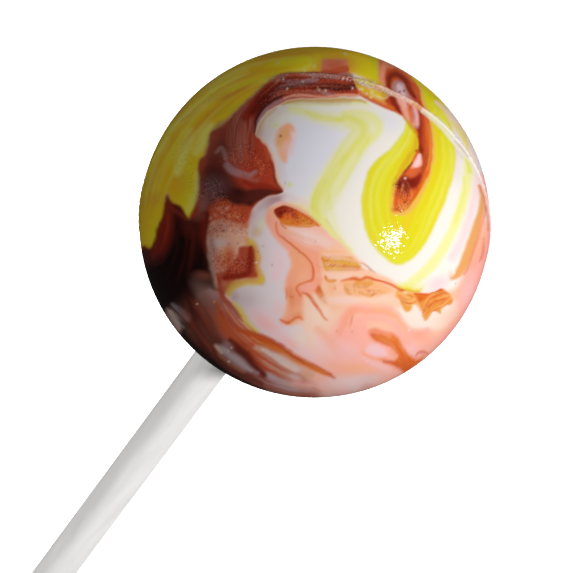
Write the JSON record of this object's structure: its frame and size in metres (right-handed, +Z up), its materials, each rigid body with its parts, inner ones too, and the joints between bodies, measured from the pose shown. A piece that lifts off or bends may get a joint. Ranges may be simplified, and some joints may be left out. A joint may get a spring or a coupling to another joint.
{
  "type": "lollipop",
  "caption": "Ball of glossy marbled hard candy on a white rolled-paper stick, lying on its side on the ball and the stick's far end.",
  "frame": {"origin": "centre of the small flat on the ball that the lollipop rests on", "axes": "+Z up from the resting surface; +X from the ball towards the stick's far end, along the surface"},
  "size_m": [0.11, 0.035, 0.0348],
  "materials": {
    "candy": "glossy boiled sugar, marbled in white, pink, lemon yellow, orange and dark red-brown",
    "paper": "matt white tightly rolled paper"
  },
  "bodies": {
    "root": {"candy_ball": "candy", "stick": "paper"}
  },
  "joints": []
}
